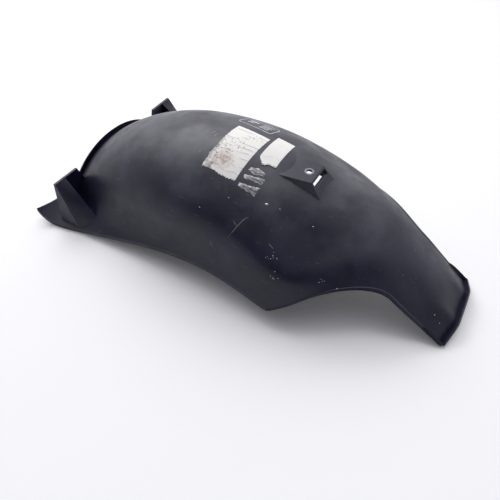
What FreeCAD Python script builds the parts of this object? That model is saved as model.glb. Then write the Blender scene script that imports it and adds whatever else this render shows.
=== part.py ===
"""Motorcycle rear inner fender: one moulded plastic arch with flared sides, turned rims and fixing points.

Millimetres. While it is drawn, X runs from the plane of the front lip to the narrow tail, Y across and Z up
from the floor. At the end the part moves along X so that its origin lies under the middle of its box.
"""
import math
import os

import FreeCAD
import Part
import Sketcher

V = FreeCAD.Vector
# a level well under the floor, down to which solid forms reach before they are trimmed
BELOW = -60.0

SIZES = {
    # crown, the highest line of the arch: an arc over the apex, then a flatter tangent arc to the tail
    "apex_x": 199.0, "apex_height": 135.5, "front_height": 64.1, "blend_x": 281.0,
    "tail_crown_x": 505.0, "tail_height": 8.2,
    # lower rim: half widths and heights at the foot, the waist and the skirt tip
    "foot_x": -6.0, "foot_half": 135.0, "waist_x": 200.0, "waist_half": 111.8, "tip_x": 316.0,
    "tip_half": 119.0, "rim_rise": 28.0, "rise_x": 225.0, "tip_drop": 10.0,
    "foot_reach": 27.0, "foot_lift": 14.0,
    # cross section: half width of the barrel above the flare, and its crown radii
    "barrel_foot": 78.0, "barrel_waist": 107.0, "barrel_tip": 110.0, "round_body": 126.0, "round_tip": 112.0,
    "round_notch": 129.0, "round_neck": 121.0, "round_tongue": 98.0, "round_tail": 94.0,
    "flare_pinch": 7.0, "flare_rise": 18.0,
    # moulding
    "wall": 2.6, "rim_height": 6.0, "lip_thick": 2.6, "front_lip": 6.5, "tail_lip": 5.5,
    "bead_width": 1.9, "bead_proud": 0.6,
    # notch behind the skirt tip, and the leaning end of the tongue after it
    "tip_height": 19.0, "tip_angle": 38.0, "tail_angle": 35.0, "notch_radius": 72.0,
    "tail_x": 497.5, "tail_lean": 30.0, "tail_spare": 16.0, "tail_half": 48.0, "tail_flank": 30.0,
    "flange_run": 26.0,
    # ears at the front: an upright tab braced by a ramp that fans out to the rim
    "ear_x": 9.5, "ear_top": 64.0, "ear_outer": 117.0, "ear_ramp": 100.0, "ear_inner": 79.0, "ear_thick": 3.0,
    "ear_step": 6.0, "ramp_inner_run": 70.0, "ramp_outer_run": 33.0, "ramp_spread": 10.0,
    "foot_inner": 98.0, "foot_sweep": 16.0,
    # bolt boss on the crown
    "boss_start": 271.5, "boss_end": 311.0, "boss_sink": 2.5, "boss_front_half": 22.3,
    "boss_half": 16.5, "boss_slant": 12.0, "boss_drop": 13.7, "boss_flare": 3.5, "boss_round": 1.2,
    "bolt_hole": 7.0, "bolt_x": 301.0, "slot_half": 14.5, "slot_height": 5.2, "slot_roof": 1.8,
}

doc = FreeCAD.newDocument("rear_inner_fender")
sheet = doc.addObject("Spreadsheet::Sheet", "sizes")
for row, (alias, number) in enumerate(SIZES.items(), start=1):
    sheet.set(f"A{row}", alias)
    sheet.set(f"B{row}", str(number))
    sheet.setAlias(f"B{row}", alias)
doc.recompute()


def size(alias):
    return float(sheet.get(alias))


def crown(x):
    """Height of the crown line and its slope at x."""
    fall = size("apex_height") - size("front_height")
    radius = (size("apex_x") ** 2 + fall ** 2) / (2 * fall)
    if x <= size("blend_x"):
        sine = (x - size("apex_x")) / radius
        height = size("apex_height") - radius * (1 - math.sqrt(1 - sine ** 2))
        return height, -sine / math.sqrt(1 - sine ** 2)
    sine = (size("blend_x") - size("apex_x")) / radius
    cosine = math.sqrt(1 - sine ** 2)
    height = size("apex_height") - radius * (1 - cosine)
    run, drop = size("tail_crown_x") - size("blend_x"), height - size("tail_height")
    tail_radius = (run ** 2 + drop ** 2) / (2 * (drop * cosine - run * sine))
    sine += (x - size("blend_x")) / tail_radius
    height -= tail_radius * (cosine - math.sqrt(1 - sine ** 2))
    return height, -sine / math.sqrt(1 - sine ** 2)


def waisted(x, front, middle, tip, power):
    """A half width that is least at the waist and grows towards the foot and the skirt tip."""
    if x < size("waist_x"):
        share = min((size("waist_x") - x) / (size("waist_x") - size("foot_x")), 1.0)
        return middle + (front - middle) * share ** power
    share = (x - size("waist_x")) / (size("tip_x") - size("waist_x"))
    return middle + (tip - middle) * share ** power


def rim_bottom(x):
    """Height of the rim's lower edge: an S curve up to the rise, a drop at the tip, the foot turned up."""
    share = min(max(x / size("rise_x"), 0.0), 1.0)
    height = size("rim_rise") * (3 * share ** 2 - 2 * share ** 3)
    past = max(x - size("rise_x"), 0.0) / (size("tip_x") - size("rise_x"))
    before = max(-x, 0.0) / size("foot_reach")
    return height - size("tip_drop") * past ** 2 + size("foot_lift") * before ** 1.5


# where the section's poles lie: the shoulder as a share of the barrel's half width, and the flare's pole as
# shares of the flare's width, out from the barrel and down
SHOULDER = 0.74
FLARE_OUT = 0.35
FLARE_DOWN = 0.13


def body_poles(x, radius):
    """Half section of the arch: crown, shoulder, side and flare, as six poles of a cubic spline."""
    top = crown(x)[0]
    rim_half = waisted(x, size("foot_half"), size("waist_half"), size("tip_half"), 1.6)
    side = waisted(x, size("barrel_foot"), size("barrel_waist"), size("barrel_tip"), 1.8)
    low = rim_bottom(x) + size("rim_height")
    flare = rim_half - side
    shoulder = SHOULDER * side
    pinch = size("flare_pinch") * (1 - max(x - size("waist_x"), 0.0) / (size("tip_x") - size("waist_x")))
    lift = (shoulder / 2) ** 2 / (6 * radius)
    return [
        (0.0, top + lift),
        (shoulder / 2, top - 2 * lift),
        (shoulder, top - radius + math.sqrt(radius ** 2 - shoulder ** 2) + lift),
        (side, (top + low) / 2),
        (side - pinch + FLARE_OUT * flare, low + size("flare_rise") - FLARE_DOWN * flare),
        (rim_half, low),
    ]


# the poles of a round arch are spaced so that the fourth but a little lies at its edge
ARCH_POLES = 4.2


def tongue_poles(x, radius, reach):
    """Half section of the tongue: a round arch of that radius, its half width a share of the radius."""
    step = math.asin(reach) / ARCH_POLES
    ring = radius * 3 / (2 + math.cos(step))
    centre = crown(x)[0] - radius
    return [(ring * math.sin(i * step), centre + ring * math.cos(i * step)) for i in range(6)]


# where the sections lie: shares of the length up to the skirt tip, then of the length from there to past
# the tail, with the section's radius and how much of it the half width takes
BODY_STATIONS = (0.0, 0.127, 0.285, 0.475, 0.665, 0.854)
TONGUE_STATIONS = ((0.307, "round_notch", 0.74), (0.565, "round_neck", 0.55), (0.776, "round_tongue", 0.57),
                   (1.0, "round_tail", 0.6))


def stations():
    """Each station's x, crown slope and half section, from the foot to past the tail."""
    tip, tail = size("tip_x"), size("tail_x")
    body = [-size("foot_reach")] + [share * tip for share in BODY_STATIONS]
    sections = [(x, body_poles(x, size("round_body"))) for x in body]
    sections.append((tip, body_poles(tip, size("round_tip"))))
    for share, name, reach in TONGUE_STATIONS:
        x = tip + share * (tail + size("tail_spare") - tip)
        sections.append((x, tongue_poles(x, size(name), reach)))
    return [(x, crown(x)[1], poles) for x, poles in sections]


def inset(poles, slope, depth, fade=math.inf):
    """The half section moved inwards, square to the skin, by a depth that lessens towards the fade."""
    moved = []
    for i, (y, z) in enumerate(poles):
        before = poles[i - 1] if i > 0 else (-poles[1][0], poles[1][1])
        after = poles[i + 1] if i + 1 < len(poles) else poles[i]
        along = math.hypot(after[0] - before[0], after[1] - before[1])
        across = ((before[1] - after[1]) / along, (after[0] - before[0]) / along)
        step = depth * max(1 - (i / fade) ** 3, 0.0) * math.sqrt(1 + (across[1] * slope) ** 2)
        moved.append((y - across[0] * step, z - across[1] * step))
    return moved


def spline(x, half):
    """The whole section as one cubic spline, from the near side over the crown to the far side."""
    points = [V(x, -y, z) for y, z in reversed(half[1:])] + [V(x, y, z) for y, z in half]
    knots = list(range(len(points) - 2))
    curve = Part.BSplineCurve()
    curve.buildFromPolesMultsKnots(points, [4] + [1] * (len(knots) - 2) + [4], knots, False, 3)
    return curve.toShape()


def line(x, start, end):
    return Part.makeLine(V(x, *start), V(x, *end))


def skin_wire(x, slope, half):
    """A section of the wall, with its rim turned down at both sides."""
    wall, rim = size("wall"), size("rim_height")
    inner = inset(half, slope, wall)
    inner[-1] = (half[-1][0] - wall, inner[-1][1])
    y, z = half[-1]
    yi, zi = inner[-1]
    edges = [spline(x, half), line(x, (y, z), (y, z - rim)), line(x, (y, z - rim), (yi, z - rim)),
             line(x, (yi, z - rim), (yi, zi)), spline(x, inner), line(x, (-yi, zi), (-yi, z - rim)),
             line(x, (-yi, z - rim), (-y, z - rim)), line(x, (-y, z - rim), (-y, z))]
    return Part.Wire(Part.__sortEdges__(edges))


def filled_wire(x, slope, half, depth, fade):
    """A section inset by a depth and closed straight down to a level below the floor."""
    moved = inset(half, slope, depth, fade)
    y, z = moved[-1]
    edges = [spline(x, moved), line(x, (y, z), (y, BELOW)), line(x, (y, BELOW), (-y, BELOW)),
             line(x, (-y, BELOW), (-y, z))]
    return Part.Wire(Part.__sortEdges__(edges))


def feature(name, shape):
    item = doc.addObject("Part::Feature", name)
    item.Shape = shape
    return item


def loft(name, wires):
    return feature(name, Part.makeLoft(wires, True, False))


PLANES = {
    "XY": FreeCAD.Placement(),
    "XZ": FreeCAD.Placement(V(), FreeCAD.Rotation(V(1, 0, 0), 90)),
    "YZ": FreeCAD.Placement(V(), FreeCAD.Rotation(V(1, 1, 1), 120)),
}


def polygon(name, plane, corners):
    """A closed sketch whose corners are bound, one by one, to expressions of the sheet."""
    item = doc.addObject("Sketcher::SketchObject", name)
    item.Placement = PLANES[plane]
    count = len(corners)
    turns = [2 * math.pi * i / count for i in range(count)]
    ring = [V(math.cos(turn), math.sin(turn), 0) * size("foot_half") for turn in turns]
    for i in range(count):
        item.addGeometry(Part.LineSegment(ring[i], ring[(i + 1) % count]))
    for i in range(count):
        item.addConstraint(Sketcher.Constraint("Coincident", i, 2, (i + 1) % count, 1))
    for i, (across, up) in enumerate(corners):
        for axis, text, start in (("X", across, ring[i].x), ("Y", up, ring[i].y)):
            index = item.addConstraint(Sketcher.Constraint("Distance" + axis, -1, 1, i, 1, start))
            item.renameConstraint(index, f"{axis.lower()}{i}")
            item.setExpression(f"Constraints.{axis.lower()}{i}", text)
    return item


def extrude(name, base, direction, length, symmetric=False):
    item = doc.addObject("Part::Extrusion", name)
    item.Base = base
    item.DirMode = "Custom"
    item.Dir = direction
    item.Solid = True
    item.Symmetric = symmetric
    item.setExpression("LengthFwd", length)
    return item


def box(name, x, y, z):
    """A box between two expressions on each axis."""
    item = doc.addObject("Part::Box", name)
    for axis, edge, (low, high) in (("x", "Length", x), ("y", "Width", y), ("z", "Height", z)):
        item.setExpression(f"Placement.Base.{axis}", low)
        item.setExpression(edge, f"({high}) - ({low})")
    return item


def cylinder(name, radius, height, place, axis=V(0, 0, 1)):
    item = doc.addObject("Part::Cylinder", name)
    item.Placement = FreeCAD.Placement(V(), FreeCAD.Rotation(V(0, 0, 1), axis))
    item.setExpression("Radius", radius)
    item.setExpression("Height", height)
    for letter, text in zip("xyz", place):
        item.setExpression(f"Placement.Base.{letter}", text)
    return item


def cut(name, base, tool):
    item = doc.addObject("Part::Cut", name)
    item.Base = base
    item.Tool = tool
    return item


def common(name, *pieces):
    item = doc.addObject("Part::MultiCommon", name)
    item.Shapes = list(pieces)
    return item


def fuse(name, *pieces):
    item = doc.addObject("Part::MultiFuse", name)
    item.Shapes = list(pieces)
    return item


def mirrored(name, source):
    """The same feature on the other side of the middle plane."""
    item = doc.addObject("Part::Mirroring", name)
    item.Source = source
    item.Normal = V(0, 1, 0)
    return item


def form(name, depth, fade=math.inf):
    """Everything under the skin's outer face moved inwards by a depth; a negative depth grows it."""
    return loft(name, [filled_wire(*station, depth, fade) for station in stations()])


# how far cutting forms run past the part
SPARE = 60


def notch(name, lift):
    """The space behind the skirt tip: two slopes that meet in a round top, cut through from side to side."""
    slope_tip, slope_tail = "tan(sizes.tip_angle)", "tan(sizes.tail_angle)"
    top_x = (f"((sizes.tail_x * {slope_tail} + sizes.tip_x * {slope_tip} - sizes.tip_height)"
             f" / ({slope_tip} + {slope_tail}))")
    top_z = f"((sizes.tail_x - {top_x}) * {slope_tail} + {lift})"
    reach = "(sizes.notch_radius * tan((sizes.tip_angle + sizes.tail_angle) / 2))"
    front_x = f"({top_x} - {reach} * cos(sizes.tip_angle))"
    front_z = f"({top_z} - {reach} * sin(sizes.tip_angle))"
    back_x = f"({top_x} + {reach} * cos(sizes.tail_angle))"
    back_z = f"({top_z} - {reach} * sin(sizes.tail_angle))"
    outline = polygon(name + "_outline", "XZ", [
        (f"sizes.tip_x - {SPARE}", f"sizes.tip_height - {SPARE} * {slope_tip} + {lift}"),
        (f"sizes.tip_x - {SPARE}", str(2 * BELOW)),
        (f"sizes.tail_x + {SPARE}", str(2 * BELOW)),
        (f"sizes.tail_x + {SPARE}", f"{lift} - {SPARE} * {slope_tail}"),
        (back_x, back_z),
        (front_x, front_z),
    ])
    slopes = extrude(name + "_slopes", outline, V(0, 1, 0), "4 * sizes.foot_half", symmetric=True)
    top = cylinder(name + "_top", "sizes.notch_radius", "4 * sizes.foot_half", (
        f"{front_x} + sizes.notch_radius * sin(sizes.tip_angle)", "2 * sizes.foot_half",
        f"{front_z} - sizes.notch_radius * cos(sizes.tip_angle)"), V(0, -1, 0))
    return fuse(name, slopes, top)


def tail_slab(name, before, after):
    """The space between two planes that lean back with the tail end, each a distance along X from it."""
    lean = "tan(sizes.tail_lean)"
    outline = polygon(name + "_outline", "XZ", [
        (f"sizes.tail_x + {before} - {SPARE} * {lean}", f"-{SPARE}"),
        (f"sizes.tail_x + {after} - {SPARE} * {lean}", f"-{SPARE}"),
        (f"sizes.tail_x + {after} + {SPARE} * {lean}", f"{SPARE}"),
        (f"sizes.tail_x + {before} + {SPARE} * {lean}", f"{SPARE}")])
    return extrude(name, outline, V(0, 1, 0), "4 * sizes.foot_half", symmetric=True)


def trimmed_skin(notch_space):
    """The skin without what lies ahead of the front lip and the swept feet, in the notch and past the tail."""
    sides = [("-sizes.lip_thick", "{}sizes.foot_inner"), ("-sizes.foot_sweep", "{}sizes.foot_inner"),
             ("-sizes.foot_reach", "{}sizes.foot_half"), ("-2 * sizes.foot_reach", "{}sizes.foot_half")]
    plan = polygon("ahead_plan", "XY", [(x, y.format("-")) for x, y in sides]
                   + [(x, y.format("")) for x, y in reversed(sides)])
    plan.setExpression("Placement.Base.z", str(BELOW))
    ahead = extrude("ahead", plan, V(0, 0, 1), "2 * sizes.apex_height")
    skin = loft("skin", [skin_wire(*station) for station in stations()])
    fronted = cut("skin_fronted", cut("skin_notched", skin, notch_space), ahead)
    return cut("skin_trimmed", fronted, tail_slab("past_tail", "0", f"{SPARE}"))


# the poles of the half section at which each crest has come down to the skin
FRONT_FADE = 3.6
TAIL_FADE = 8.0


def front_lip(core):
    """The crest turned outwards round the front end of the barrel, between the ears."""
    slab = box("front_slab", ("-sizes.lip_thick", "0"), ("-sizes.ear_inner", "sizes.ear_inner"),
               ("0.4 * sizes.ear_top", "2 * sizes.apex_height"))
    crest = common("front_crest", form("grown_front", -size("front_lip"), FRONT_FADE), slab)
    return cut("front_lip", crest, core)


def tail_flank():
    """What lies outside the tail's corner: the space past a plane that leans out square to the skin there."""
    lean = "tan(sizes.tail_flank)"
    outline = polygon("flank_outline", "YZ", [
        (f"sizes.tail_half - {SPARE} * {lean}", f"-{SPARE}"), (f"3 * {SPARE}", f"-{SPARE}"),
        (f"3 * {SPARE}", f"{SPARE}"), (f"sizes.tail_half + {SPARE} * {lean}", f"{SPARE}")])
    outline.setExpression("Placement.Base.x", "sizes.tip_x")
    return extrude("tail_flank", outline, V(1, 0, 0), "sizes.tail_x")


def tail_lip(core):
    """The crest turned outwards along the tail end, from corner to corner."""
    slab = tail_slab("tail_wall", "-sizes.lip_thick / cos(sizes.tail_lean)", "0")
    crest = common("tail_crest", form("grown_tail", -size("tail_lip"), TAIL_FADE), slab)
    flank = tail_flank()
    flanked = cut("tail_crest_far", cut("tail_crest_near", crest, flank), mirrored("far_flank", flank))
    return cut("tail_lip", flanked, core)


def notch_edge(x):
    """Where the notch's slope meets the tongue's skin: the way across, up, and the skin's lean there."""
    radius = size("round_tail")
    up = (size("tail_x") - x) * math.tan(math.radians(size("tail_angle")))
    lean = math.acos((up - crown(x)[0] + radius) / radius)
    return radius * math.sin(lean), up, lean


# shares of the side flange's run at which its sections lie, the last past the tail end
FLANGE_SHARES = (0.0, 0.3, 0.6, 1.0, 1.3)


def flange_wire(share):
    """A section of the side flange: a thin wall, square to the skin, from the bead's height to the lip's."""
    x = size("tail_x") + (share - 1) * size("flange_run")
    y, z, lean = notch_edge(x)
    out, inwards = (math.sin(lean), math.cos(lean)), (-math.cos(lean), math.sin(lean))
    high = size("bead_proud") + (size("tail_lip") - size("bead_proud")) * min(math.sqrt(share), 1.0)
    corners = [(-size("wall") / 2, 0.0), (high, 0.0), (high, size("lip_thick")),
               (-size("wall") / 2, size("lip_thick"))]
    ring = [V(x, y + up * out[0] + along * inwards[0], z + up * out[1] + along * inwards[1])
            for up, along in corners]
    return Part.makePolygon(ring + ring[:1])


def side_flange():
    """The tail lip carried round the tail's corner, where it dies out along the notch's edge."""
    wall = loft("flange_wall", [flange_wire(share) for share in FLANGE_SHARES])
    return cut("side_flange", wall, tail_slab("past_flange", "0", f"{SPARE}"))


def edge_bead(core, notch_space):
    """The thin bead along the notch's edge."""
    along = notch("bead_space", "sizes.bead_width")
    band = common("bead_band", form("grown_bead", -size("bead_proud")), along)
    kept = box("bead_limit", ("sizes.tip_x", "sizes.tail_x - sizes.lip_thick"),
               ("-sizes.foot_half", "sizes.foot_half"), (str(BELOW), "sizes.apex_height"))
    return cut("edge_bead", cut("bead_open", common("bead_kept", band, kept), core), notch_space)


def ruled(name, sections):
    """A solid whose sides are straight from each section to the next."""
    item = doc.addObject("Part::Loft", name)
    item.Sections = sections
    item.Solid = True
    item.Ruled = True
    return item


# how many gaps the sharp inner corner of the ramp's space keeps back from the ramp's own
CORNER_GAPS = 6


def ramp_level(name, level, back, gap):
    """A level section of the ramp, or, with a gap, of the space inside it, at a share of the way down."""
    inner_x = f"sizes.ear_x + {level} * sizes.ramp_inner_run - {CORNER_GAPS} * {gap}"
    outer_x = f"sizes.ear_x + {level} * sizes.ramp_outer_run - {gap}"
    inner_y = f"sizes.ear_ramp + {level} * sizes.ramp_spread + {gap}"
    outer_y = f"sizes.ear_outer + {level} * sizes.ramp_spread - {gap}"
    item = polygon(name, "XY", [(back, outer_y), (outer_x, outer_y), (inner_x, inner_y), (back, inner_y)])
    item.setExpression("Placement.Base.z", f"(1 - {level}) * sizes.ear_top")
    return item


# shares of the way down to the floor between which the ramp runs and is hollow
RAMP_LEVELS = (0, 0.95)
HOLLOW_LEVELS = (0.35, 1.3)


def ramp_form(name, levels, back, gap):
    sections = [ramp_level(f"{name}_level{i}", level, back, gap) for i, level in enumerate(levels)]
    return ruled(name, sections)


def ear(core):
    """An upright tab beside the barrel, braced by a ramp that fans out down to the flared rim."""
    behind = "(sizes.ear_x - sizes.ear_thick)"
    step = "(sizes.ear_inner - sizes.ear_step)"
    tab_face = polygon("tab_face", "YZ", [
        ("sizes.ear_outer", "sizes.ear_top"), ("sizes.ear_inner", "sizes.ear_top"),
        (step, "0.7 * sizes.ear_top"), (step, "0"), ("sizes.ear_outer", "0")])
    tab_face.setExpression("Placement.Base.x", behind)
    tab = extrude("tab", tab_face, V(1, 0, 0), "sizes.ear_thick")
    solid = fuse("ear_solid", tab, ramp_form("ramp", RAMP_LEVELS, behind, "0"))
    return cut("ear", solid, core)



FRONT_FALL = "(sizes.apex_height - sizes.front_height)"
FRONT_RADIUS = f"((sizes.apex_x ^ 2 + {FRONT_FALL} ^ 2) / (2 * {FRONT_FALL}))"
CROWN_AT_BOSS = (f"(sizes.apex_height - {FRONT_RADIUS}"
                 f" * (1 - sqrt(1 - ((sizes.boss_start - sizes.apex_x) / {FRONT_RADIUS}) ^ 2)))")
BOSS_TOP = f"({CROWN_AT_BOSS} - sizes.boss_sink)"
# how many times the end face's visible drop the boss runs down, so that it ends inside the arch
BOSS_DEPTH = 3


def boss_level(name, drops, gap):
    """A level section of the boss, or, with a gap, of the space inside it, some drops below its top."""
    start = f"sizes.boss_start + 4 * {gap}"
    end = f"sizes.boss_end + {drops} * sizes.boss_slant - 1.4 * {gap}"
    front_half = f"(sizes.boss_front_half + {drops} * sizes.boss_flare - {gap})"
    half = f"(sizes.boss_half + {drops} * sizes.boss_flare - {gap})"
    corners = [(start, f"-{front_half}"), (end, f"-{half}"), (end, half), (start, front_half)]
    item = polygon(name, "XY", corners)
    item.setExpression("Placement.Base.z", f"{BOSS_TOP} - {drops} * sizes.boss_drop")
    return item


def boss_form(name, gap):
    """The wedge on the crown with its sides and end sloping out, or the space inside it, open underneath."""
    top = boss_level(name + "_top", f"({gap} / sizes.boss_drop)", gap)
    return ruled(name, [top, boss_level(name + "_foot", str(BOSS_DEPTH), gap)])


def rounded_boss():
    """The boss with the edges of its top and end face rounded, but not where it starts in the skin."""
    block = boss_form("boss_solid", "0")
    doc.recompute()
    top = max(block.Shape.Faces, key=lambda face: face.CenterOfMass.z)
    end = max(block.Shape.Faces, key=lambda face: face.CenterOfMass.x)
    item = doc.addObject("Part::Fillet", "boss_rounded")
    item.Base = block
    radius = size("boss_round")
    bare = [edge for edge in top.Edges + end.Edges if edge.CenterOfMass.x > size("boss_start") + radius]
    item.Edges = [(i, radius, radius) for i, edge in enumerate(block.Shape.Edges, start=1)
                  if any(edge.isSame(other) for other in bare)]
    return item


def bolt_hole():
    return cylinder("bolt_hole", "sizes.bolt_hole / 2", "sizes.apex_height",
                    ("sizes.bolt_x", "0", "sizes.apex_height / 2"))


def nut_slot():
    """The slot under the boss's end edge, for a clip nut."""
    return box("nut_slot", ("sizes.boss_end - 2 * sizes.wall", "sizes.boss_end + sizes.boss_slant"),
               ("-sizes.slot_half", "sizes.slot_half"),
               (f"{BOSS_TOP} - sizes.slot_roof - sizes.slot_height", f"{BOSS_TOP} - sizes.slot_roof"))


def build():
    core = form("core", size("wall") / 2)
    space = notch("notch", "0")
    doc.recompute()
    one_ear = ear(core)
    boss = cut("boss", rounded_boss(), core)
    flange = side_flange()
    moulding = fuse("moulding", trimmed_skin(space), front_lip(core), tail_lip(core), edge_bead(core, space),
                    flange, mirrored("far_flange", flange), one_ear, mirrored("far_ear", one_ear), boss)
    hollow = ramp_form("ramp_hollow", HOLLOW_LEVELS, "sizes.ear_x", "sizes.wall")
    openings = fuse("openings", hollow, mirrored("far_hollow", hollow),
                    boss_form("boss_hollow", "sizes.wall"), bolt_hole(), nut_slot())
    opened = cut("opened", moulding, openings)
    floor = box("under_floor", ("-4 * sizes.foot_reach", "2 * sizes.tail_x"),
                ("-2 * sizes.foot_half", "2 * sizes.foot_half"), (str(4 * BELOW), "0"))
    return cut("standing", opened, floor)


def check(item):
    if "Invalid" in item.State or "Error" in item.State:
        raise RuntimeError(f"{item.Name} failed: {item.State}")
    if hasattr(item, "Shape") and (item.Shape.isNull() or not item.Shape.isValid()):
        raise RuntimeError(f"{item.Name} has no valid shape")


standing = build()
doc.recompute()
for item in doc.Objects:
    check(item)

shell = feature("fender_shell", standing.Shape.removeSplitter())
shell.Label = "fender_shell"
limits = shell.Shape.optimalBoundingBox()
shell.Placement.Base = V(-(limits.XMin + limits.XMax) / 2, 0, 0)
check(shell)
print(len(shell.Shape.Solids), "solid", round(shell.Shape.Volume), "mm3", shell.Shape.optimalBoundingBox())
os.makedirs("parts", exist_ok=True)
shell.Shape.exportStep(f"parts/{shell.Label}.step")
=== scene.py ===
# %% [markdown]
# # A motorcycle's rear inner fender
# The real object is one moulded shell of black polypropylene: an arch that keeps the rear tyre's dirt
# out of the space under the seat. It has been used and taken off, so it carries torn paper labels and
# scuffs. The shell that the frame brings is already the right shape, so it stays, and this lesson
# dresses it: first a finish for the plastic, then the thin things that lie on its skin, then the light.

# %% Load the frame
import math

import bpy
import numpy as np
from mathutils import Matrix, Vector


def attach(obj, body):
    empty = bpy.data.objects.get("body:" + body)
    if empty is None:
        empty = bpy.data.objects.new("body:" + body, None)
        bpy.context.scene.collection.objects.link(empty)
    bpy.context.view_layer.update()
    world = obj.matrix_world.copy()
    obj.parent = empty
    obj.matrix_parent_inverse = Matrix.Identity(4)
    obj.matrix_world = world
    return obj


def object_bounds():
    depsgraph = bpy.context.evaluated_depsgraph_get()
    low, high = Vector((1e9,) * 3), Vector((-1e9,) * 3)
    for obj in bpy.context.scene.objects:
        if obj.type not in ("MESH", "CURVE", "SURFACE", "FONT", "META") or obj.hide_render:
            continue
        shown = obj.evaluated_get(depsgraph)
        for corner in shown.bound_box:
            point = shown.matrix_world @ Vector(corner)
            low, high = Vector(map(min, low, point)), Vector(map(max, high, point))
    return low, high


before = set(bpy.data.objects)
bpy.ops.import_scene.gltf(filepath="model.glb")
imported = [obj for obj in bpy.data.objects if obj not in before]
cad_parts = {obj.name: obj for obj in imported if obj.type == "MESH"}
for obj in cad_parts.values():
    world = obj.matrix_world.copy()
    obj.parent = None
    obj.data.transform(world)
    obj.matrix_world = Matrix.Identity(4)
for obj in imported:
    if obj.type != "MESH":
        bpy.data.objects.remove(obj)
cad_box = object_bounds()
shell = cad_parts["fender_shell"]
MM = 0.001
FEET_REACH = 27.0  # mm from the feet's front ends back to the plane of the front lip
lip_x = cad_box[0][0] / MM + FEET_REACH
print("CAD box in mm:", [[round(c / MM, 1) for c in corner] for corner in cad_box])
print("marks are measured back from the front lip, at x =", round(lip_x, 1), "mm")

# %% [markdown]
# ## Colour and nodes
# A colour could be typed as three linear numbers, but nobody can picture those. Here it is the sRGB hex
# value that a paint program shows, and one function turns it to the linear light that shaders work in. A
# second small function adds a node with its settings and links, so a material reads as a short list. A
# Mix node for colours takes its share at socket 0 and the two colours at 6 and 7, and gives the result
# at 2. A pattern's scale comes from its real size in millimetres, because Object coordinates are in
# metres.


# %% Helpers for materials
def linear(hexcode):
    """sRGB hex to linear RGBA: the low end is a straight line, the rest a power of 2.4."""
    value = np.array([int(hexcode[i:i + 2], 16) for i in (1, 3, 5)]) / 255
    flat = np.where(value <= 0.04045, value / 12.92, ((value + 0.055) / 1.055) ** 2.4)
    return (*flat, 1.0)


def per(size):
    """The scale of a pattern whose features are this many millimetres across."""
    return 1 / (size * MM)


def fill(material, node, inputs):
    """Gives inputs their values, or links them where the value is another node's output."""
    for socket, value in inputs.items():
        if isinstance(value, bpy.types.NodeSocket):
            material.node_tree.links.new(value, node.inputs[socket])
        else:
            node.inputs[socket].default_value = value


def add(material, kind, inputs, **settings):
    """Adds one node with its settings and inputs."""
    node = material.node_tree.nodes.new("ShaderNode" + kind)
    for name, value in settings.items():
        setattr(node, name, value)
    fill(material, node, inputs)
    return node


def new_material(name):
    """An empty material, and its Principled shader."""
    material = bpy.data.materials.new(name)
    material.use_nodes = True
    return material, material.node_tree.nodes["Principled BSDF"]


print("mid grey in linear light:", round(linear("#808080")[0], 4))

# %% [markdown]
# ## The moulded plastic
# Black polypropylene comes out of a satin tool, so it is neither matt nor glossy: a lamp shows as a wide
# soft band. Handling polishes it in some places and dulls it in others. A grey lies on the high, flat
# middle: dust, and painted sheen that paints the lit top lighter than the flank. It fades lower down and
# round the bolt. One flat black would look like a drawing, so noise a few centimetres wide moves the
# colour, and finer noise the roughness. The tool's grain is a tenth of a millimetre, too fine to show
# here, so it is drawn as 0.7 mm.

# %% Plastic: colour, dust and painted sheen
CLOUD = 44.0       # mm across a cloud of the moulding's tone, and of the dust and painted sheen
RUB_WIDTH = 2.2    # mm across a rub mark, drawn wider than real so that it shows
RUB_LENGTH = 9     # times as long as it is wide
RUB_TURN = 0.35    # radians from the part's length
SPECK_STEP = 13.0  # mm between dust specks
BOLT = np.array((301.0 + lip_x, 0.0, 0.0)) * MM  # the bolt hole's upright axis
RING_RADIUS = 5.7       # mm, the outer radius of a pale ring round the bolt hole
RING_EDGE = 0.86   # of that radius, where the pale ring has its full strength
BOLT_CLEAR, BOLT_FULL = 12.0, 56.0  # mm from the bolt: no dust and painted sheen within the first, all of it past the second
STEEP, FLAT = 104.0, 42.0  # mm from the middle: no dust and painted sheen past the first, all of it within the second
BARE_BELOW, FULL_ABOVE = 72.0, 108.0  # mm up: no dust and painted sheen below the first, all of it above the second, so the lit top is painted lighter
DEEP, PALE = linear("#151428"), linear("#212036")  # the moulding's blue-black
# the first grey here is dust and painted sheen: it paints the lit top and blotches of sheen lighter
DUST_AND_SHEEN, RUBBED = linear("#494a53"), linear("#6a6971")
SPECK, PALE_RING = linear("#8d8c92"), linear("#98979c")

plastic, skin_shader = new_material("moulded_polypropylene")
place = add(plastic, "TexCoord", {}).outputs["Object"]
clouds = add(plastic, "TexNoise", {"Vector": place, "Scale": per(CLOUD), "Detail": 4.0}).outputs[0]
tone = add(plastic, "MapRange", {"Value": clouds, "From Min": 0.36, "From Max": 0.66}).outputs[0]
colour = add(plastic, "Mix", {0: tone, 6: DEEP, 7: PALE}, data_type="RGBA").outputs[2]

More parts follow.
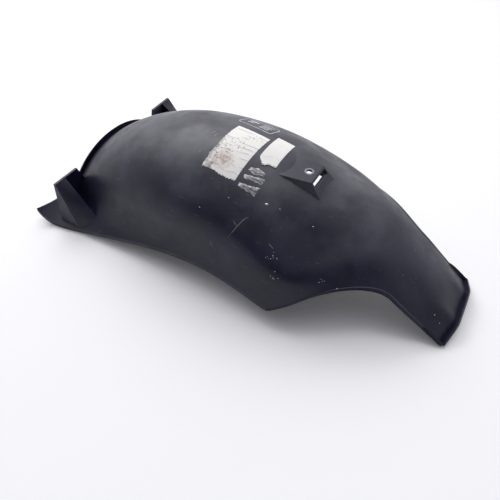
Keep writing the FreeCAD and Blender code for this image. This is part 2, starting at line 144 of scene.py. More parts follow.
# painted light with real dust: the high middle is painted lighter, as where the crown faces the light
axes = add(plastic, "SeparateXYZ", {0: place})
aside = add(plastic, "Math", {0: axes.outputs["Y"]}, operation="ABSOLUTE").outputs[0]
level = add(plastic, "MapRange", {"Value": aside, "From Min": STEEP * MM,
                                  "From Max": FLAT * MM}).outputs[0]
upper = add(plastic, "MapRange", {"Value": axes.outputs["Z"], "From Min": BARE_BELOW * MM,
                                "From Max": FULL_ABOVE * MM}).outputs[0]
high_middle = add(plastic, "Math", {0: level, 1: upper}, operation="MULTIPLY").outputs[0]
uneven = add(plastic, "MapRange", {"Value": clouds, "From Min": 0.4, "From Max": 0.62,
                                   "To Min": 0.15}).outputs[0]
plan = add(plastic, "VectorMath", {0: place, 1: (1.0, 1.0, 0.0)}, operation="MULTIPLY").outputs[0]
reach = add(plastic, "VectorMath", {0: plan, 1: tuple(BOLT)}, operation="DISTANCE").outputs["Value"]
clear_of_bolt = add(plastic, "MapRange", {"Value": reach, "From Min": BOLT_CLEAR * MM, "From Max": BOLT_FULL * MM},
            interpolation_type="SMOOTHSTEP").outputs[0]
kept = add(plastic, "Math", {0: uneven, 1: clear_of_bolt}, operation="MULTIPLY").outputs[0]
dust_and_sheen = add(plastic, "Math", {0: high_middle, 1: kept}, operation="MULTIPLY").outputs[0]
colour = add(plastic, "Mix", {0: dust_and_sheen, 6: colour, 7: DUST_AND_SHEEN}, data_type="RGBA").outputs[2]

rub_place = add(plastic, "Mapping", {"Vector": place, "Rotation": (0.0, 0.0, RUB_TURN),
                                     "Scale": (1 / RUB_LENGTH, 1.0, 1.0)}).outputs[0]
rubs = add(plastic, "TexNoise", {"Vector": rub_place, "Scale": per(RUB_WIDTH), "Detail": 2.0}).outputs[0]
rub = add(plastic, "MapRange", {"Value": rubs, "From Min": 0.66, "From Max": 0.8,
                                "To Max": 0.35}).outputs[0]
colour = add(plastic, "Mix", {0: rub, 6: colour, 7: RUBBED}, data_type="RGBA").outputs[2]

cells = add(plastic, "TexVoronoi", {"Vector": place, "Scale": per(SPECK_STEP)})
dot = add(plastic, "MapRange", {"Value": cells.outputs["Distance"], "From Min": 0.055,
                                "From Max": 0.03}).outputs[0]
some = add(plastic, "SeparateColor", {0: cells.outputs["Color"]}).outputs[0]
rare = add(plastic, "MapRange", {"Value": some, "From Min": 0.7, "From Max": 0.72,
                                 "To Max": 0.5}).outputs[0]
speck = add(plastic, "Math", {0: dot, 1: rare}, operation="MULTIPLY").outputs[0]
colour = add(plastic, "Mix", {0: speck, 6: colour, 7: SPECK}, data_type="RGBA").outputs[2]

# a pale ring round the bolt hole
ring = add(plastic, "MapRange", {"Value": reach, "From Min": RING_RADIUS * MM,
                                 "From Max": RING_EDGE * RING_RADIUS * MM, "To Max": 0.75}).outputs[0]
colour = add(plastic, "Mix", {0: ring, 6: colour, 7: PALE_RING}, data_type="RGBA").outputs[2]
print("plastic colour nodes:", len(plastic.node_tree.nodes))

# %% Plastic: gloss and grain
POLISH = 19.0  # mm across a polished patch
SINK = 26.0    # mm across a shallow sink mark of the moulding
GRAIN = 0.7    # mm across a grain of the tool's satin, coarser than real so that it shows
SKIN_IOR = 1.43  # a little under polypropylene's 1.49, because the dull skin reflects less

patches = add(plastic, "TexNoise", {"Vector": place, "Scale": per(POLISH), "Detail": 3.0}).outputs[0]
rough = add(plastic, "MapRange", {"Value": patches, "From Min": 0.3, "From Max": 0.7,
                                  "To Min": 0.36, "To Max": 0.5}).outputs[0]
sinks = add(plastic, "TexNoise", {"Vector": place, "Scale": per(SINK), "Detail": 1.0}).outputs[0]
waves = add(plastic, "Bump", {"Height": sinks, "Strength": 0.3, "Distance": 0.6 * MM}).outputs[0]
grains = add(plastic, "TexNoise", {"Vector": place, "Scale": per(GRAIN), "Detail": 2.0}).outputs[0]
satin = add(plastic, "Bump", {"Height": grains, "Strength": 0.25, "Distance": 0.05 * MM,
                              "Normal": waves}).outputs[0]
fill(plastic, skin_shader, {"Base Color": colour, "Roughness": rough, "Normal": satin,
                            "IOR": SKIN_IOR})
shell.data.materials.clear()
shell.data.materials.append(plastic)
print("plastic nodes in all:", len(plastic.node_tree.nodes))

# %% [markdown]
# ## Laying things on the skin
# Labels, glue and scratches are far thinner than the plastic, and each lies on a surface that curves
# both ways. Shrinkwrap could press a flat sheet on it, but then the sheet's place would depend on a live
# modifier. Here the skin's own triangles are read once as arrays, and a grid of points is dropped on
# them along a straight line, hundreds of points at once. The sheet then follows the moulding exactly,
# and sits a hair above it.

# %% The skin as arrays
shell.data.calc_loop_triangles()
skin_points = np.empty(3 * len(shell.data.vertices), dtype=np.float32)
shell.data.vertices.foreach_get("co", skin_points)
skin_corners = np.empty(3 * len(shell.data.loop_triangles), dtype=np.int32)
shell.data.loop_triangles.foreach_get("vertices", skin_corners)
facets = skin_points.reshape(-1, 3).astype(float)[skin_corners.reshape(-1, 3)] / MM
print("skin facets:", len(facets))


# %% Dropping a grid on the skin
DOWN = (0.0, 0.0, -1.0)
INWARD = (0.0, 0.8, -0.6)  # from the near side, square to the flank
BATCH = 400      # points tested at a time, to keep the arrays small
EDGE = 1e-6      # a point on the seam of two triangles counts as inside both


def turned(a, b):
    """The flat cross product of two plane vectors: twice the area between them."""
    return a[..., 0] * b[..., 1] - a[..., 1] * b[..., 0]


def drop(points, towards):
    """Slides points along one direction until they meet the skin.

    Points and triangles are flattened on the plane square to the direction. A point is inside a triangle
    where its area shares are all positive. The same shares of the corners' depths give its depth, and the
    least depth is the outer skin.
    """
    towards = np.array(towards) / np.linalg.norm(towards)
    side = np.cross(towards, (1.0, 0.0, 0.0))
    side = side / np.linalg.norm(side)
    axes = np.stack((side, np.cross(side, towards), towards), axis=1)
    flat = points.reshape(-1, 3) @ axes
    cast = facets @ axes
    low, high = flat[:, :2].min(axis=0), flat[:, :2].max(axis=0)
    past_low = (cast[..., :2].max(axis=1) >= low).all(axis=1)
    short_of_high = (cast[..., :2].min(axis=1) <= high).all(axis=1)
    a, b, c = cast[past_low & short_of_high].transpose(1, 0, 2)
    area = turned(b - a, c - a)
    a, b, c, area = (part[abs(area) > EDGE] for part in (a, b, c, area))
    for rows in np.array_split(np.arange(len(flat)), 1 + len(flat) // BATCH):
        arm = flat[rows, None, :2] - a[:, :2]
        to_b = turned(arm, (c - a)[:, :2]) / area
        to_c = turned((b - a)[:, :2], arm) / area
        inside = (to_b >= -EDGE) & (to_c >= -EDGE) & (to_b + to_c <= 1 + EDGE)
        depth = a[:, 2] + to_b * (b - a)[:, 2] + to_c * (c - a)[:, 2]
        flat[rows, 2] = np.where(inside, depth, np.inf).min(axis=1)
    return (flat @ axes.T).reshape(points.shape)


CROWN = 220.0  # mm behind the lip
crown = drop(np.array([[CROWN + lip_x, 0.0, 0.0]]), DOWN)
print("the crown", CROWN, "mm behind the lip is", round(crown[0, 2], 2), "mm high")

# %% [markdown]
# ## A sheet on the skin
# A sheet of paper or glue is a grid of points, so its mesh needs no edges drawn by hand: neighbours in
# the grid make the faces. The outward direction at each point is the cross product of the grid's two
# slopes. Weld closes a grid that comes round to its own start, and Solidify then gives the sheet a real
# thickness, so that its torn edge catches the light.


# %% Making sheets
GAP = 0.12   # mm of air between the skin and a sheet, so that the two never share a surface
WELD = 0.01  # mm, points nearer than this are one: it closes a ring's seam and a dome's top


def outward(grid, towards):
    """The unit normal at each point: the cross product of the slopes along the grid, facing the dropper.

    Where a grid closes on itself, or starts from one point, the normals that meet there are added up.
    """
    normal = np.cross(np.gradient(grid, axis=1), np.gradient(grid, axis=0))
    if np.allclose(grid[:, 0], grid[:, -1]):
        normal[:, [0, -1]] = normal[:, :1] + normal[:, -1:]
    if np.allclose(grid[0], grid[0, :1], atol=WELD):
        normal[0] = normal[0].sum(axis=0)
    normal /= np.linalg.norm(normal, axis=2, keepdims=True)
    return normal if (normal @ np.array(towards)).mean() < 0 else -normal


def put(name, data):
    """Makes an object of this data, at the origin of the scene."""
    made = bpy.data.objects.new(name, data)
    bpy.context.scene.collection.objects.link(made)
    return made


def quads(rows, columns):
    """The corner numbers of each cell of a grid: a point, the next in its row, and the two above."""
    first = (np.arange(rows - 1)[:, None] * columns + np.arange(columns - 1)).reshape(-1, 1)
    return first + np.array((0, 1, columns + 1, columns))


def lay(name, grids, lifts, towards, thickness, finish, marks=None):
    """Joins grids into one thin piece: each is dropped on the skin and raised by its lift in mm."""
    points, faces, start = [], [], 0
    for grid, lift in zip(grids, lifts):
        on_skin = drop(grid, towards)
        normal = outward(on_skin, towards)
        points.append((on_skin + normal * (GAP + lift)[..., None]).reshape(-1, 3))
        cell = quads(*grid.shape[:2])
        corner = points[-1][cell]
        facing = np.cross(corner[:, 1] - corner[:, 0], corner[:, 3] - corner[:, 0]).sum(axis=0)
        cell = cell if facing @ normal.sum(axis=(0, 1)) > 0 else cell[:, ::-1]
        faces.append(cell + start)
        start += len(points[-1])
    mesh = bpy.data.meshes.new(name)
    mesh.from_pydata((np.concatenate(points) * MM).tolist(), [], np.concatenate(faces).tolist())
    mesh.polygons.foreach_set("use_smooth", np.ones(len(mesh.polygons), dtype=bool))
    for label, value in (marks or {}).items():
        carried = mesh.attributes.new(label, "FLOAT", "POINT")
        carried.data.foreach_set("value", value.ravel().astype(np.float32))
    mesh.materials.append(finish)
    piece = put(name, mesh)
    piece.modifiers.new("closed seams", "WELD").merge_threshold = WELD * MM
    wall = piece.modifiers.new("thickness", "SOLIDIFY")
    wall.thickness = thickness * MM
    wall.offset = 1.0
    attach(piece, "root")
    print(name, "has", len(mesh.vertices), "points and", len(mesh.polygons), "faces")


# %% [markdown]
# ## Label paper
# The labels are plain coated paper. They have been wetted and rubbed, so the paper is off-white, pinkish
# brown in one soaked spot, grey along edges where soiling has got under them, and with painted shade
# under the small label's curled foot. It is cracked across in thin dark lines, with painted shade in the
# creases, and has specks of lost coating. Paint on one picture would do it, but a picture doesn't scale.
# Noise gives the blots and specks, and the cracked lines and the soiling with its painted shade are
# numbers that each point of the mesh carries, because they follow the sheet.

# %% Paper
FIBRE = 0.9  # mm across a tuft of fibres, coarser than real so that it shows
BLOT = 3.2   # mm across the blots within a stain
CHIP_STEP = 2.9  # mm between chips of lost coating
STAIN = np.array((211.0 + lip_x, -34.0, 130.0)) * MM
STAIN_REACH = 30.0  # mm to the stain's faint edge
PAPER_IOR = 1.47
DULL_COAT, CLEAN_COAT = linear("#e2e0dc"), linear("#f0eeea")
SOAKED, LOST_COAT = linear("#ab8a7e"), linear("#5c564f")
GRIME_AND_SHADE_GREY, CRACK_AND_CREASE_GREY = linear("#77736d"), linear("#6f6a64")

paper, paper_shader = new_material("coated_label_paper")
place = add(paper, "TexCoord", {}).outputs["Object"]
fibres = add(paper, "TexNoise", {"Vector": place, "Scale": per(FIBRE), "Detail": 3.0}).outputs[0]
colour = add(paper, "Mix", {0: fibres, 6: DULL_COAT, 7: CLEAN_COAT}, data_type="RGBA").outputs[2]

blots = add(paper, "TexNoise", {"Vector": place, "Scale": per(BLOT), "Detail": 4.0}).outputs[0]
reach = add(paper, "VectorMath", {0: place, 1: tuple(STAIN)}, operation="DISTANCE").outputs["Value"]
spread = add(paper, "MapRange", {"Value": reach, "From Min": STAIN_REACH * MM,
                                 "From Max": 0.0}).outputs[0]
wet = add(paper, "Math", {0: spread, 1: blots}, operation="MULTIPLY").outputs[0]
soaked = add(paper, "MapRange", {"Value": wet, "From Min": 0.22, "From Max": 0.52,
                                 "To Max": 0.75}).outputs[0]
colour = add(paper, "Mix", {0: soaked, 6: colour, 7: SOAKED}, data_type="RGBA").outputs[2]

chips = add(paper, "TexVoronoi", {"Vector": place, "Scale": per(CHIP_STEP)}).outputs["Distance"]
chip = add(paper, "MapRange", {"Value": chips, "From Min": 0.3, "From Max": 0.19}).outputs[0]
flaked = add(paper, "Attribute", {}, attribute_name="flaked").outputs["Fac"]
ragged = add(paper, "Math", {0: flaked, 1: blots}, operation="MULTIPLY").outputs[0]
open_coat = add(paper, "MapRange", {"Value": ragged, "From Min": 0.2, "From Max": 0.4,
                                    "To Max": 0.9}).outputs[0]
lost = add(paper, "Math", {0: chip, 1: open_coat}, operation="MULTIPLY").outputs[0]
colour = add(paper, "Mix", {0: lost, 6: colour, 7: LOST_COAT}, data_type="RGBA").outputs[2]

# grey from soiling under the edges, and painted shade under the small label's curled foot
grime_and_shade = add(paper, "Attribute", {}, attribute_name="grime_and_shade").outputs["Fac"]
grime_and_shade_blots = add(paper, "Math", {0: grime_and_shade, 1: blots}, operation="MULTIPLY").outputs[0]
grime_and_shade_share = add(paper, "MapRange", {"Value": grime_and_shade_blots, "From Min": 0.22, "From Max": 0.6}).outputs[0]
colour = add(paper, "Mix", {0: grime_and_shade_share, 6: colour, 7: GRIME_AND_SHADE_GREY}, data_type="RGBA").outputs[2]
# thin grey lines along the folds: cracked coating, with painted shade in the creases
crack_and_crease_shade = add(paper, "Attribute", {}, attribute_name="crack_and_crease_shade").outputs["Fac"]
colour = add(paper, "Mix", {0: crack_and_crease_shade, 6: colour, 7: CRACK_AND_CREASE_GREY}, data_type="RGBA").outputs[2]

felt = add(paper, "Bump", {"Height": fibres, "Strength": 0.35, "Distance": 0.08 * MM}).outputs[0]
fill(paper, paper_shader, {"Base Color": colour, "Roughness": 0.62, "Normal": felt, "IOR": PAPER_IOR})
print("paper nodes:", len(paper.node_tree.nodes))

# %% [markdown]
# ## The torn labels
# Two labels were stuck across the crown. The larger keeps its straight top and right edges, but its foot
# is torn into teeth and its left edge has frayed. The smaller lost its lower left corner. Cutting a
# sheet with a boolean leaves ragged faces, so each label is a four-cornered patch whose edges are
# themselves curves: a torn edge is a line of random heights, joined up, and the grid is squeezed between
# the edges. Folds with their painted crease shade, flakes, and soiling with its painted shade are sums
# of bells, each given by its centre and width as shares of the sheet.


# %% Patches with torn edges
def tear(along, depth, teeth, seed):
    """A torn edge: random depths at evenly spaced teeth, joined by straight lines, as shares of a patch."""
    heights = np.random.default_rng(seed).uniform(0, depth, teeth)
    return np.interp(along, np.linspace(0, 1, teeth), heights)


def patch_grid(corners, u, v):
    """A four-cornered patch: each point is the mean of the corners, weighted by its shares u and v.

    The corners go round from the lower left, as millimetres behind the lip and across.
    """
    low_left, low_right, high_right, high_left = np.array(corners, dtype=float)
    u, v = u[..., None], v[..., None]
    low = (1 - u) * low_left + u * low_right
    high = (1 - u) * high_left + u * high_right
    flat = (1 - v) * low + v * high
    return np.concatenate((flat + (lip_x, 0.0), np.zeros_like(u)), axis=2)


def shares(rows, columns):
    """The two parameters of a grid, v up its rows and u along its columns, each from 0 to 1."""
    v, u = np.meshgrid(np.linspace(0, 1, rows), np.linspace(0, 1, columns), indexing="ij")
    return u, v


def bump(value, centre, width):
    """A bell curve: one at its centre, and nearly nothing two widths away."""
    return np.exp(-((value - centre) / width) ** 2)


KNOTS = 7       # places along a crease where its height and strength are drawn
WANDER = 0.022  # share of the sheet that a crease strays by


def crease_bells(u, v, heights, width, seed):
    """Thin bells across the sheet, one at each height: each strays a little, and fades where it is weak."""
    random = np.random.default_rng(seed)
    total = np.zeros_like(u)
    knots = np.linspace(0, 1, KNOTS)
    for height in heights:
        wander = np.interp(u, knots, random.uniform(-WANDER, WANDER, KNOTS))
        strength = np.interp(u, knots, random.uniform(-0.3, 1.0, KNOTS))
        total += bump(v, height + wander, width) * np.clip(strength, 0, 1)
    return np.clip(total, 0, 1)


# %% The two labels
PAPER = 0.12  # mm thick
LARGE_CORNERS = [(193.6, -51.5), (237.6, -53.0), (241.2, 20.2), (197.0, 23.0)]
LARGE_FOLDS = (0.1, 0.2, 0.29, 0.38, 0.47, 0.56, 0.66, 0.76, 0.84, 0.93)  # shares of its height
SMALL_CORNERS = [(245.8, -18.5), (268.2, -17.0), (267.2, 33.0), (245.5, 32.4)]
SMALL_FOLDS = (0.2, 0.24, 0.72)

u, v = shares(rows=150, columns=96)
foot = tear(u, depth=0.024, teeth=38, seed=3) + 0.012 * np.sin(7 * u)
frayed = tear(v, depth=0.022, teeth=60, seed=5) - 0.05 * bump(v, 0.24, 0.025)
grid = patch_grid(LARGE_CORNERS, frayed * (1 - u) + u, foot * (1 - v) + v)
crease_lines = crease_bells(u, v, LARGE_FOLDS, width=0.007, seed=11)
ridge = crease_bells(u, v, LARGE_FOLDS, width=0.022, seed=11)
flakes = 0.35 + bump(u, 0.3, 0.16) * bump(v, 0.6, 0.09) + bump(u, 0.56, 0.12) * bump(v, 0.56, 0.09)
flakes += bump(u, 0.66, 0.2) * bump(v, 0.88, 0.07) + bump(u, 0.2, 0.2) * bump(v, 0.3, 0.15)
dirty = bump(u, 0.02, 0.1) * bump(v, 0.35, 0.35) + bump(u, 0.2, 0.1) * bump(v, 0.06, 0.08)
dirty += 0.6 * bump(v, 0.0, 0.03)
cockle = 0.3 * ridge + 0.25 * bump(v, foot, 0.05) * tear(u, depth=1.0, teeth=9, seed=8)
lay("large_label", [grid], [cockle], DOWN, PAPER, paper,
    {"crack_and_crease_shade": 0.8 * crease_lines, "grime_and_shade": np.clip(dirty, 0, 1), "flaked": np.clip(flakes, 0, 1)})

u, v = shares(rows=110, columns=60)
torn = tear(u, depth=0.012, teeth=20, seed=21) - 0.07 * bump(u, 0.22, 0.2)
nick = 0.24 * bump(v, 0.0, 0.09)
grid = patch_grid(SMALL_CORNERS, nick * (1 - u) + u, torn * (1 - v) + v)
crease_lines = crease_bells(u, v, SMALL_FOLDS, width=0.006, seed=23)
curl = 0.2 * crease_lines + 0.5 * bump(v, 0.0, 0.06)
# the grey along this label's foot is painted shade under its curled edge
lay("small_label", [grid], [curl], DOWN, PAPER, paper,
    {"crack_and_crease_shade": 0.5 * crease_lines, "grime_and_shade": 0.8 * bump(v, 0.02, 0.05), "flaked": np.full(u.shape, 0.3)})

# %% [markdown]
# ## What the labels left
# Beside the labels lie three scraps: the backing has torn away, and a film of glue with streaks of paper
# in it has stayed. Clear film could be a see-through shader, but dried glue on black looks grey and
# streaky, so an opaque mix of dark film and pale fibres reads the same and is simpler to reuse.

# %% Dried glue
STREAK = 1.3       # mm across a streak
STREAK_LENGTH = 5  # times as long as it is wide
STREAK_TURN = -0.25  # radians from the part's length
GLUE_IOR = 1.48
FILM, FIBRES = linear("#4b4a53"), linear("#e4e3e4")

glue, glue_shader = new_material("dried_label_glue")
place = add(glue, "TexCoord", {}).outputs["Object"]
turn = add(glue, "Mapping", {"Vector": place, "Rotation": (0.0, 0.0, STREAK_TURN),
                             "Scale": (1 / STREAK_LENGTH, 1.0, 1.0)}).outputs[0]
streaks = add(glue, "TexNoise", {"Vector": turn, "Scale": per(STREAK), "Detail": 3.0}).outputs[0]
pale = add(glue, "Attribute", {}, attribute_name="fibre").outputs["Fac"]
mixed = add(glue, "Math", {0: streaks, 1: pale}, operation="ADD").outputs[0]
shown = add(glue, "MapRange", {"Value": mixed, "From Min": 0.42, "From Max": 1.0}).outputs[0]
colour = add(glue, "Mix", {0: shown, 6: FILM, 7: FIBRES}, data_type="RGBA").outputs[2]
film = add(glue, "Bump", {"Height": streaks, "Strength": 0.5, "Distance": 0.15 * MM}).outputs[0]
fill(glue, glue_shader, {"Base Color": colour, "Roughness": 0.4, "Normal": film, "IOR": GLUE_IOR})
print("glue nodes:", len(glue.node_tree.nodes))

# %% Glue scraps
GLUE = 0.06  # mm thick
scraps = [
    [(243.6, -34.0), (263.5, -32.5), (263.5, -28.5), (245.0, -30.5)],  # corners in the labels' order
    [(244.0, -45.0), (266.5, -42.5), (267.0, -33.8), (242.6, -40.5)],
    [(242.8, -54.5), (265.5, -56.5), (266.5, -45.5), (241.3, -51.0)],
]
u, v = shares(rows=40, columns=60)
grids, lifts, fibre = [], [], []
for number, corners in enumerate(scraps):
    left = tear(v, depth=0.08, teeth=9, seed=30 + number)
    right = 1 - tear(v, depth=0.08, teeth=9, seed=40 + number)
    belly = 0.8 * bump(u, 0.45, 0.3) * (number == 0)  # the first scrap is fat in its middle
    low = tear(u, depth=0.16, teeth=14, seed=50 + number) - belly
    high = 1 - tear(u, depth=0.14, teeth=14, seed=60 + number) + belly
    grids.append(patch_grid(corners, left * (1 - u) + right * u, low * (1 - v) + high * v))
    lifts.append(0.25 * bump(v, 0.85, 0.12) * tear(u, depth=1.0, teeth=8, seed=70 + number))
    top_fibre = 0.55 * bump(v, 0.95, 0.2) * tear(u, depth=1.0, teeth=10, seed=80 + number)
    fibre.append(top_fibre + 0.4 * bump(u, 0.02, 0.1) + 0.35 * bump(v, 0.02, 0.1) * u)
lay("glue_scraps", grids, lifts, DOWN, GLUE, glue, {"fibre": np.stack(fibre)})

# %% [markdown]
# ## The printed panel
# On the far shoulder a panel is printed in white ink: a thin line round it, and a few plain bars inside.
# A line could be a curve with a bevel, but a curve doesn't follow a skin that bends two ways. So the
# line is a narrow ribbon: its path is a rectangle with round corners, walked at an even pace, and each
# point is dropped on the skin like the labels.

# %% Ink panel
PANEL_CENTRE = (212.3, 46.0)  # mm behind the lip and across
PANEL_HALF = (24.0, 12.0)     # mm from the centre to its sides
PANEL_CORNER = 4.5  # mm radius
PANEL_TURN = math.radians(-6.5)
INK_LINE = 1.0      # mm wide
INK = 0.02          # mm thick
INK_WEAR = 1.6      # mm across a worn spot
FRESH_INK, WORN_INK = linear("#ececee"), linear("#a9a8ad")
CORNER_STEPS = 12   # points on each round corner
LINE_STEPS = 200    # points round the line

ink, ink_shader = new_material("worn_white_ink")
place = add(ink, "TexCoord", {}).outputs["Object"]
wear = add(ink, "TexNoise", {"Vector": place, "Scale": per(INK_WEAR), "Detail": 3.0}).outputs[0]
gone = add(ink, "MapRange", {"Value": wear, "From Min": 0.4, "From Max": 0.62}).outputs[0]
colour = add(ink, "Mix", {0: gone, 6: FRESH_INK, 7: WORN_INK}, data_type="RGBA").outputs[2]
fill(ink, ink_shader, {"Base Color": colour, "Roughness": 0.5})


def on_panel(flat):
    """Turns points of the panel's own plane to its place: rotated, then moved to the panel's centre."""
    cosine, sine = math.cos(PANEL_TURN), math.sin(PANEL_TURN)
    placed = flat @ np.array(((cosine, sine), (-sine, cosine))) + PANEL_CENTRE + (lip_x, 0.0)
    return np.concatenate((placed, np.zeros(placed.shape[:-1] + (1,))), axis=-1)


def round_rectangle(half, radius, count):
    """A walk round a rectangle with round corners: corner centres plus a turning radius, evenly paced."""
    angle = np.radians(np.arange(4)[:, None] * 90 + np.linspace(0, 90, CORNER_STEPS)).ravel()
    quarter = np.repeat(np.array(((1, 1), (-1, 1), (-1, -1), (1, -1))), CORNER_STEPS, axis=0)
    walk = quarter * (np.array(half) - radius) + radius * np.stack((np.cos(angle), np.sin(angle)), axis=1)
    walk = np.concatenate((walk, walk[:1]))
    paced = np.concatenate(((0.0,), np.cumsum(np.linalg.norm(np.diff(walk, axis=0), axis=1))))
    steps = np.linspace(0, paced[-1], count)
    return np.stack((np.interp(steps, paced, walk[:, 0]), np.interp(steps, paced, walk[:, 1])), axis=1)


rim = round_rectangle(PANEL_HALF, PANEL_CORNER, LINE_STEPS)
core = round_rectangle(np.array(PANEL_HALF) - INK_LINE, PANEL_CORNER - INK_LINE, LINE_STEPS)
grids = [on_panel(np.stack((rim, core), axis=0))]
# each bar's left end and lower edge from the panel's centre, then its length and width, in mm
bars = [(-16, 2.0, 13, 3.4), (-16, -3.0, 9, 2.0), (3, 5.5, 15, 1.2), (3, 2.5, 13, 1.2),
        (3, -0.5, 15, 1.2), (3, -3.5, 12, 1.2), (3, -6.5, 14, 1.2)]
u, v = shares(rows=3, columns=30)
for left, low, length, width in bars:
    grids.append(on_panel(np.stack((left + length * u, low + width * v), axis=2)))
lay("ink_panel", grids, [np.zeros(grid.shape[:2]) for grid in grids], DOWN, INK, ink)

# %% [markdown]
# ## Scratches and specks
# Years of stones and handling have left pale scratches on the near flank, two scuffs on the crown, and
# specks of grit stuck to the skin, one of them as large as a drop. The scratches could be a texture, but
# each has a place of its own. So each is a ribbon along a bent path, widest in its middle. A speck is a
# low dome: rings of points round a centre.

# %% Scuffed skin
CRUMB = 1.1  # mm across a crumb of torn plastic
SCUFF_IOR = 1.49
TORN_SKIN, BARE_SKIN = linear("#3a3940"), linear("#8f8e94")

scuffed, scuff_shader = new_material("scuffed_polypropylene")
place = add(scuffed, "TexCoord", {}).outputs["Object"]
crumbs = add(scuffed, "TexNoise", {"Vector": place, "Scale": per(CRUMB), "Detail": 3.0}).outputs[0]
bare = add(scuffed, "MapRange", {"Value": crumbs, "From Min": 0.38, "From Max": 0.62}).outputs[0]
colour = add(scuffed, "Mix", {0: bare, 6: TORN_SKIN, 7: BARE_SKIN}, data_type="RGBA").outputs[2]
fill(scuffed, scuff_shader, {"Base Color": colour, "Roughness": 0.6, "IOR": SCUFF_IOR})
print("scuff nodes:", len(scuffed.node_tree.nodes))

# %% Scratches and scuffs
SCRATCH = 0.02  # mm proud of the skin
RIBBON_STEPS = 60
SMOOTHED = 9    # neighbours in the running mean that rounds a path's bends
TIP = 0.15      # added to the sine, so that a ribbon's ends keep some width


def ribbon(path, width):
    """A ribbon along a bent path: straight joins, rounded by a running mean, and a sine for the width."""
    path = np.array(path, dtype=float)
    t = np.linspace(0, 1, RIBBON_STEPS)
    knots = np.linspace(0, 1, len(path))
    line = np.stack([np.interp(t, knots, path[:, axis]) for axis in range(3)], axis=1)
    kernel = np.ones(SMOOTHED) / SMOOTHED
    padded = np.pad(line, ((SMOOTHED // 2, SMOOTHED // 2), (0, 0)), mode="edge")
    line = np.stack([np.convolve(padded[:, axis], kernel, mode="valid") for axis in range(3)], axis=1)
    sideways = np.cross(np.gradient(line, axis=0), INWARD)
    sideways /= np.linalg.norm(sideways, axis=1, keepdims=True)
    half = 0.5 * width * (TIP + np.sin(math.pi * t))[:, None]
    return np.stack((line - half * sideways, line + half * sideways), axis=0) + (lip_x, 0.0, 0.0)


# each mark's path, as mm behind the lip, across and up, and its width in mm
scratches = [
    ([(269, -74, 103), (265, -80, 101), (262, -87, 96), (256, -99, 84)], 0.9),
    ([(255, -84, 100), (258, -86, 98), (262, -87, 96)], 0.6),
    ([(236, -102, 74), (238, -103, 70), (244, -104, 64)], 0.7),
    ([(298, -84, 88), (302, -86, 86), (306, -86, 84)], 0.6),
]
grids = [ribbon(path, width) for path, width in scratches]
flush = [np.zeros(grid.shape[:2]) for grid in grids]
lay("flank_scratches", grids, flush, INWARD, SCRATCH, scuffed)

arcs = [
    ([(187, 0.4, 0), (181.6, -2.3, 0), (179.6, -8.3, 0), (183, -13, 0)], 1.9),
    ([(189, -5, 0), (185, -8, 0), (186, -14.8, 0)], 1.4),
]
grids = [ribbon(path, width) for path, width in arcs]
flush = [np.zeros(grid.shape[:2]) for grid in grids]
lay("crown_scuffs", grids, flush, DOWN, SCRATCH, scuffed)

# %% Grit specks
MOTTLE = 1.4      # mm across a mottle of the grit
DOME_RISE = 0.35  # of a speck's radius
POLE = 0.001      # of its radius: the first ring, small enough to be welded to one point
RINGS, SPOKES = 5, 17
CRUMB_RADII = (0.35, 0.6)  # mm, of the specks in a cluster
DULL_GRIT, PALE_GRIT = linear("#a3a2a6"), linear("#f2f1f0")

grit, grit_shader = new_material("stuck_mineral_grit")
place = add(grit, "TexCoord", {}).outputs["Object"]
mottle = add(grit, "TexNoise", {"Vector": place, "Scale": per(MOTTLE), "Detail": 2.0}).outputs[0]
colour = add(grit, "Mix", {0: mottle, 6: DULL_GRIT, 7: PALE_GRIT}, data_type="RGBA").outputs[2]
fill(grit, grit_shader, {"Base Color": colour, "Roughness": 0.55})


def dome(centre, radius):
    """A low dome: rings of points round a centre in X and Y, and a height that falls with their square."""
    ring, turn = np.meshgrid(np.linspace(POLE, 1, RINGS), np.linspace(0, 2 * math.pi, SPOKES),
                             indexing="ij")
    flat = np.stack((ring * np.cos(turn), ring * np.sin(turn), np.zeros_like(ring)), axis=2) * radius
    return flat + np.array(centre) + (lip_x, 0.0, 0.0), DOME_RISE * radius * (1 - ring ** 2)


# each single speck's centre, as mm behind the lip, across and up, and its radius
single_specks = [((279.4, -55.8, 111), 1.7), ((293.9, -52.7, 108), 0.7), ((240.3, -68.6, 112), 0.6),
                 ((214.2, -87.2, 101), 0.8), ((331.2, -46.6, 96), 0.8), ((182.2, -35.9, 129), 0.7),
                 ((379, -82, 60), 0.7), ((478, -34, 24), 0.6), ((486, -36, 17), 0.6)]
# each cluster's centre, its spread in mm and its number of specks
clusters = [((308.8, -91.9, 79), 3.2, 9), ((316.8, -103.7, 67), 2.6, 6), ((361.9, -85.5, 64), 2.4, 4)]
sprinkle = np.random.default_rng(97)
specks = single_specks + [
    (sprinkle.normal(centre, spread), sprinkle.uniform(*CRUMB_RADII))
    for centre, spread, count in clusters for _ in range(count)]
grids, lifts = zip(*(dome(centre, radius) for centre, radius in specks))
lay("grit_specks", grids, lifts, INWARD, SCRATCH, grit)

# %% [markdown]
# ## Floor, backdrop and camera
# The part stands on a plain white table with a white backdrop round it. White could come from more
# light, but that would bleach the part. Instead the floor is a pale laminate that looks a touch brighter
# than it is, and the backdrop glows white, to whatever looks at them: the eye, a gloss or glass. Light
# that only bounces about finds the floor's own colour and no backdrop, and the floor keeps the part's
# shadow. The camera is an ordinary lens at the photograph's angle: from above, to the right of the tail
# and in front of the near flank.

# %% Floor
FLOOR = 6.0        # m from the middle to each edge
FLOOR_LIFT = 0.05  # what is seen of the floor beyond its own colour, so that it reads white
WHITE = (1.0, 1.0, 1.0, 1.0)


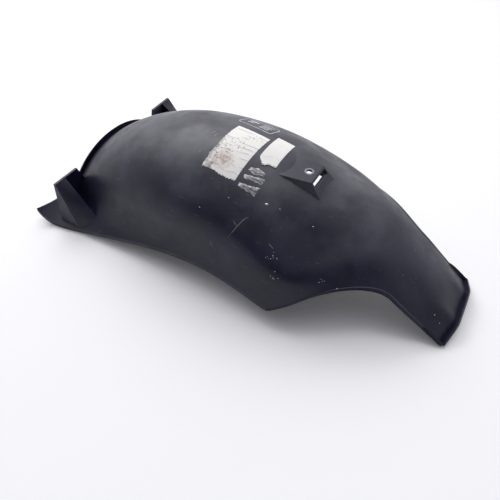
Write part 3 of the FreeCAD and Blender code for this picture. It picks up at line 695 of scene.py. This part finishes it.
def looked_at(material):
    """One for a ray from the eye, a gloss or glass, and zero for other light: the three flags added up."""
    path = add(material, "LightPath", {}).outputs
    direct = add(material, "Math", {0: path["Is Camera Ray"], 1: path["Is Glossy Ray"]}, operation="ADD")
    return add(material, "Math", {0: direct.outputs[0], 1: path["Is Transmission Ray"]}, operation="ADD",
               use_clamp=True).outputs[0]


floor_mesh = bpy.data.meshes.new("floor")
floor_mesh.from_pydata([(-FLOOR, -FLOOR, 0), (FLOOR, -FLOOR, 0), (FLOOR, FLOOR, 0), (-FLOOR, FLOOR, 0)],
                       [], [(0, 1, 2, 3)])
floor = put("floor", floor_mesh)
laminate, floor_shader = new_material("white_table_laminate")
lift = add(laminate, "Math", {0: looked_at(laminate), 1: FLOOR_LIFT}, operation="MULTIPLY").outputs[0]
fill(laminate, floor_shader, {"Base Color": linear("#f6f6f7"), "Roughness": 0.6, "Emission Color": WHITE,
                              "Emission Strength": lift})
floor_mesh.materials.append(laminate)
print("the floor is", 2 * FLOOR, "m wide")

# %% Backdrop
BACKDROP_HEIGHT = 2.2  # m
POSTS, RAILS = 65, 3   # points round the ring and up it

turn, rise = np.meshgrid(np.linspace(0, 2 * math.pi, POSTS), np.linspace(0, BACKDROP_HEIGHT, RAILS))
ring_wall = np.stack((FLOOR * np.cos(turn), FLOOR * np.sin(turn), rise), axis=2)
backdrop_mesh = bpy.data.meshes.new("backdrop")
backdrop_mesh.from_pydata(ring_wall.reshape(-1, 3).tolist(), [], quads(*turn.shape)[:, ::-1].tolist())
backdrop = put("backdrop", backdrop_mesh)
screen, default_shader = new_material("white_backdrop_paper")
screen.node_tree.nodes.remove(default_shader)
white = add(screen, "Emission", {"Color": WHITE, "Strength": 1.0}).outputs[0]
clear = add(screen, "BsdfTransparent", {}).outputs[0]
shown = add(screen, "MixShader", {0: looked_at(screen), 1: clear, 2: white}).outputs[0]
fill(screen, screen.node_tree.nodes["Material Output"], {"Surface": shown})
backdrop_mesh.materials.append(screen)
print("the backdrop is", BACKDROP_HEIGHT, "m high")

# %% Camera
SENSOR, LENS = 36.0, 32.4              # mm
CAMERA_PLACE = (0.2025, -0.361, 0.441)  # m
PITCH, YAW, ROLL = (math.radians(degrees) for degrees in (49.5, 31.0, 0.4))

camera_data = bpy.data.cameras.new("photo_camera")
camera_data.sensor_width = SENSOR
camera_data.lens = LENS
camera = put("photo_camera", camera_data)
aim = Matrix.Rotation(YAW, 4, "Z") @ Matrix.Rotation(math.pi / 2 - PITCH, 4, "X")
camera.matrix_world = Matrix.Translation(CAMERA_PLACE) @ aim @ Matrix.Rotation(-ROLL, 4, "Z")
bpy.context.scene.camera = camera
print("camera at", [round(c, 3) for c in camera.matrix_world.translation])

# %% [markdown]
# ## Light
# The photograph's room is bright behind the part and above it, and dim on the camera's side, so the
# crown and the far side shine and the near flank stays dark. A row of lamps would put spots on satin
# plastic. Instead the world itself goes smoothly from dim to bright towards one direction. One softbox
# on that side makes the brightest band and gives the shadow its side, and a weaker one overhead lights
# the crown. Together they light the part so that a colour renders about as written.

# %% World and softboxes
BRIGHT_SIDE = (-0.38, 0.77, 0.51)  # behind, a little to the left, and above
DIM, BRIGHT = 0.05, 1.4            # the world's strength away from that side and towards it
DIM_FROM, BRIGHT_FROM = -0.2, 0.9  # cosines of the angle to that side, where each is reached

world = bpy.data.worlds.new("bright_backed_room")
bpy.context.scene.world = world
world.use_nodes = True
ahead = add(world, "TexCoord", {}).outputs["Generated"]
facing = add(world, "VectorMath", {0: ahead, 1: BRIGHT_SIDE}, operation="DOT_PRODUCT").outputs["Value"]
glow = add(world, "MapRange", {"Value": facing, "From Min": DIM_FROM, "From Max": BRIGHT_FROM,
                               "To Min": DIM, "To Max": BRIGHT},
           interpolation_type="SMOOTHSTEP").outputs[0]
shade = add(world, "Mix", {0: facing, 6: linear("#e4e4f4"), 7: WHITE}, data_type="RGBA").outputs[2]
fill(world, world.node_tree.nodes["Background"], {"Color": shade, "Strength": glow})


def softbox(name, place, target, size, power):
    """A rectangular lamp that faces a point: places and size in metres, power in watts."""
    data = bpy.data.lights.new(name, "AREA")
    data.shape = "RECTANGLE"
    data.size, data.size_y = size
    data.energy = power
    lamp = put(name, data)
    lamp.location = place
    lamp.rotation_euler = (Vector(target) - Vector(place)).to_track_quat("-Z", "Y").to_euler()
    print(name, "stands", round((Vector(target) - Vector(place)).length, 2), "m away")


softbox("back_softbox", place=(-1.0, 0.65, 1.05), target=(0.0, 0.0, 0.05), size=(1.3, 0.7), power=9.0)
softbox("ceiling_softbox", place=(0.05, 0.35, 1.45), target=(0.05, 0.0, 0.1), size=(0.6, 0.4), power=3.0)
bpy.context.scene.view_settings.view_transform = "Standard"
